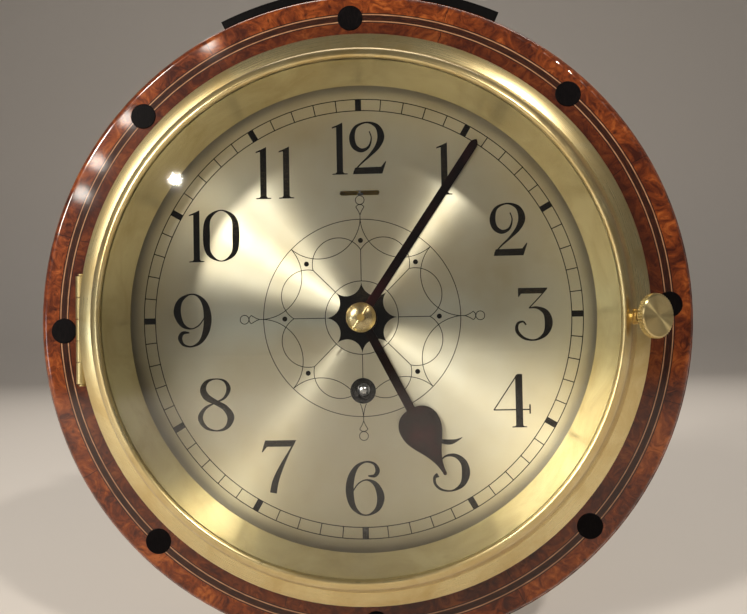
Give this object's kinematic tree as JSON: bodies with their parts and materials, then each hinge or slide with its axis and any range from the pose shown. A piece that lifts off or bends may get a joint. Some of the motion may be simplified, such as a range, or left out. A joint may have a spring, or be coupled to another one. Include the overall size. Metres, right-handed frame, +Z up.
{
  "type": "ship's deck clock",
  "caption": "Round bulkhead clock with a silvered dial in a brass drum, hinged glazed bezel with a turning latch knob, and an inlaid wooden surround.",
  "frame": {"origin": "centre of the surround's flat back face, on the clock's axis", "axes": "+Z up towards twelve, the dial faces -Y, +X to the viewer's right (three o'clock)"},
  "size_m": [0.3094, 0.0867, 0.3262],
  "materials": {
    "burr_veneer": "French polished amboyna burr",
    "box_stringing": "polished boxwood line",
    "dark_banding": "polished rosewood band",
    "ebony": "polished ebony",
    "black_plate": "black lacquered steel",
    "steel": "bright steel",
    "blued_steel": "blued steel",
    "case_brass": "lacquered, lightly toned",
    "bezel_brass": "polished and lacquered",
    "sight_brass": "turned, lacquered",
    "knob_brass": "turned face, knurled edge",
    "movement_brass": "straight grained",
    "collet_brass": "polished",
    "silvered_dial": "silvered, circular grained, wax-filled engraving",
    "black_eyelet": "blackened brass",
    "hand_steel": "plum-blued steel",
    "clear_glass": "plain flat glass"
  },
  "bodies": {
    "case": {"wood_surround": "burr_veneer", "outer_stringing": "box_stringing", "dark_banding": "dark_banding", "inner_stringing": "box_stringing", "ebony_plugs": "ebony", "hanging_plate": "black_plate", "hanging_plate_screws": "steel", "case_drum": "case_brass", "case_screws": "case_brass", "back_cover": "case_brass", "back_cover_lugs": "case_brass", "back_cover_screws": "steel", "dial_plate": "silvered_dial", "dial_screws": "steel", "winding_eyelet": "black_eyelet", "dial_feet": "movement_brass", "dial_foot_pins": "steel", "hinge_fixed_leaf": "case_brass", "hinge_pin": "case_brass", "latch_keeper": "case_brass", "keeper_screw": "case_brass", "front_plate": "movement_brass", "back_plate": "movement_brass", "plate_pillars": "movement_brass", "pillar_screws": "blued_steel", "escapement_bridge": "movement_brass", "click_spring": "steel", "hairspring_stud": "steel", "hairspring": "blued_steel"},
    "bezel": {"bezel_ring": "bezel_brass", "sight_ring": "sight_brass", "glass": "clear_glass", "hinge_moving_leaf": "case_brass"},
    "latch": {"latch_knob": "knob_brass", "latch_spindle": "case_brass"},
    "minute_work": {"cannon_pinion": "steel", "minute_hand": "hand_steel", "hand_collet": "collet_brass"},
    "minute_wheel_work": {"minute_wheel": "movement_brass"},
    "hour_work": {"hour_wheel": "movement_brass", "hour_hand": "hand_steel"},
    "escape_work": {"escape_wheel": "movement_brass"},
    "fourth_work": {"fourth_wheel": "movement_brass"},
    "third_work": {"third_wheel": "movement_brass"},
    "centre_work": {"centre_wheel": "movement_brass", "taper_pin": "collet_brass"},
    "intermediate_work": {"intermediate_wheel": "movement_brass"},
    "barrel_work": {"barrel": "movement_brass", "barrel_cover": "movement_brass", "mainspring": "blued_steel"},
    "winding_work": {"barrel_arbor": "steel", "ratchet_wheel": "steel"},
    "click_work": {"click": "steel"},
    "lever_work": {"pallet_lever": "steel"},
    "balance_work": {"balance_wheel": "movement_brass"},
    "regulator": {"regulator_index": "steel"}
  },
  "joints": [
    {"name": "bezel_hinge", "type": "hinge", "parent": "case", "child": "bezel", "pos_m": [-0.1302, -0.0423, -0.0033], "axis": [0, 0, -1], "range_deg": [0, 125]},
    {"name": "latch_turn", "type": "hinge", "parent": "bezel", "child": "latch", "pos_m": [0.1146, -0.0718, -0.002], "axis": [0.5, -0.866, 0], "range_deg": [0, 180]},
    {"name": "minute_hand_turn", "type": "hinge", "parent": "case", "child": "minute_work", "pos_m": [0, -0.045, 0], "axis": [0, 1, 0], "continuous": true},
    {"name": "minute_wheel_turn", "type": "hinge", "parent": "case", "child": "minute_wheel_work", "pos_m": [-0.01247, -0.038, 0.0072], "axis": [0, 1, 0], "continuous": true},
    {"name": "hour_hand_turn", "type": "hinge", "parent": "case", "child": "hour_work", "pos_m": [0, -0.044, 0], "axis": [0, 1, 0], "continuous": true},
    {"name": "escape_wheel_turn", "type": "hinge", "parent": "case", "child": "escape_work", "pos_m": [-0.01532, -0.024, 0.03462], "axis": [0, 1, 0], "continuous": true},
    {"name": "fourth_wheel_turn", "type": "hinge", "parent": "case", "child": "fourth_work", "pos_m": [-0.01532, -0.022, 0.02076], "axis": [0, 1, 0], "continuous": true},
    {"name": "third_wheel_turn", "type": "hinge", "parent": "case", "child": "third_work", "pos_m": [-0.01994, -0.026, 0.00352], "axis": [0, 1, 0], "continuous": true},
    {"name": "centre_wheel_turn", "type": "hinge", "parent": "case", "child": "centre_work", "pos_m": [0, -0.03, 0], "axis": [0, 1, 0], "continuous": true},
    {"name": "intermediate_wheel_turn", "type": "hinge", "parent": "case", "child": "intermediate_work", "pos_m": [0.01889, -0.027, -0.00918], "axis": [0, 1, 0], "continuous": true},
    {"name": "barrel_turn", "type": "hinge", "parent": "case", "child": "barrel_work", "pos_m": [0, -0.015, -0.03325], "axis": [0, 1, 0], "continuous": true},
    {"name": "winding_turn", "type": "hinge", "parent": "case", "child": "winding_work", "pos_m": [0, -0.037, -0.03325], "axis": [0, 1, 0], "range_deg": [0, 1800]},
    {"name": "click_turn", "type": "hinge", "parent": "case", "child": "click_work", "pos_m": [0.0134, -0.037, -0.0462], "axis": [0, 1, 0], "range_deg": [-2, 0]},
    {"name": "lever_turn", "type": "hinge", "parent": "case", "child": "lever_work", "pos_m": [-0.00712, -0.024, 0.03589], "axis": [0, 1, 0], "range_deg": [-4, 4]},
    {"name": "balance_turn", "type": "hinge", "parent": "case", "child": "balance_work", "pos_m": [0, -0.02, 0.037], "axis": [0, 1, 0], "range_deg": [-270, 270]},
    {"name": "regulator_turn", "type": "hinge", "parent": "case", "child": "regulator", "pos_m": [0, -0.036, 0.037], "axis": [0, 1, 0], "range_deg": [-15, 15]}
  ],
  "couplings": [
    {"joint": "minute_wheel_turn", "follows": "minute_hand_turn", "ratio": -0.33333},
    {"joint": "hour_hand_turn", "follows": "minute_hand_turn", "ratio": 0.083333},
    {"joint": "fourth_wheel_turn", "follows": "escape_wheel_turn", "ratio": -0.1},
    {"joint": "third_wheel_turn", "follows": "escape_wheel_turn", "ratio": 0.013333},
    {"joint": "centre_wheel_turn", "follows": "escape_wheel_turn", "ratio": -0.0016667},
    {"joint": "intermediate_wheel_turn", "follows": "escape_wheel_turn", "ratio": 0.00027778},
    {"joint": "barrel_turn", "follows": "escape_wheel_turn", "ratio": -0.000042735}
  ]
}
